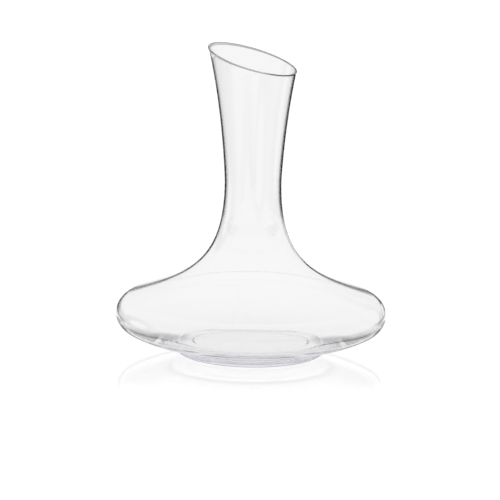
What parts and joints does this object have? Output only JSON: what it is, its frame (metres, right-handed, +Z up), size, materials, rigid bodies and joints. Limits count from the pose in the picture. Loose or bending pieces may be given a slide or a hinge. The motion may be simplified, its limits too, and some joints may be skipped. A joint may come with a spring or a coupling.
{
  "type": "wine decanter",
  "caption": "Clear glass wine decanter with a broad flat bowl on a low foot, a waisted neck and a flared mouth cut on a slant.",
  "frame": {"origin": "middle of the foot's resting plane", "axes": "+Z up along the vessel's axis; the high tip of the slanted mouth points to -X, so the XZ plane is the plane of symmetry"},
  "size_m": [0.22, 0.22, 0.2512],
  "materials": {
    "clear_glass": "clear, fire-polished"
  },
  "bodies": {
    "root": {"foot": "clear_glass", "bowl": "clear_glass", "shoulder": "clear_glass", "neck": "clear_glass", "lip": "clear_glass"}
  },
  "joints": []
}
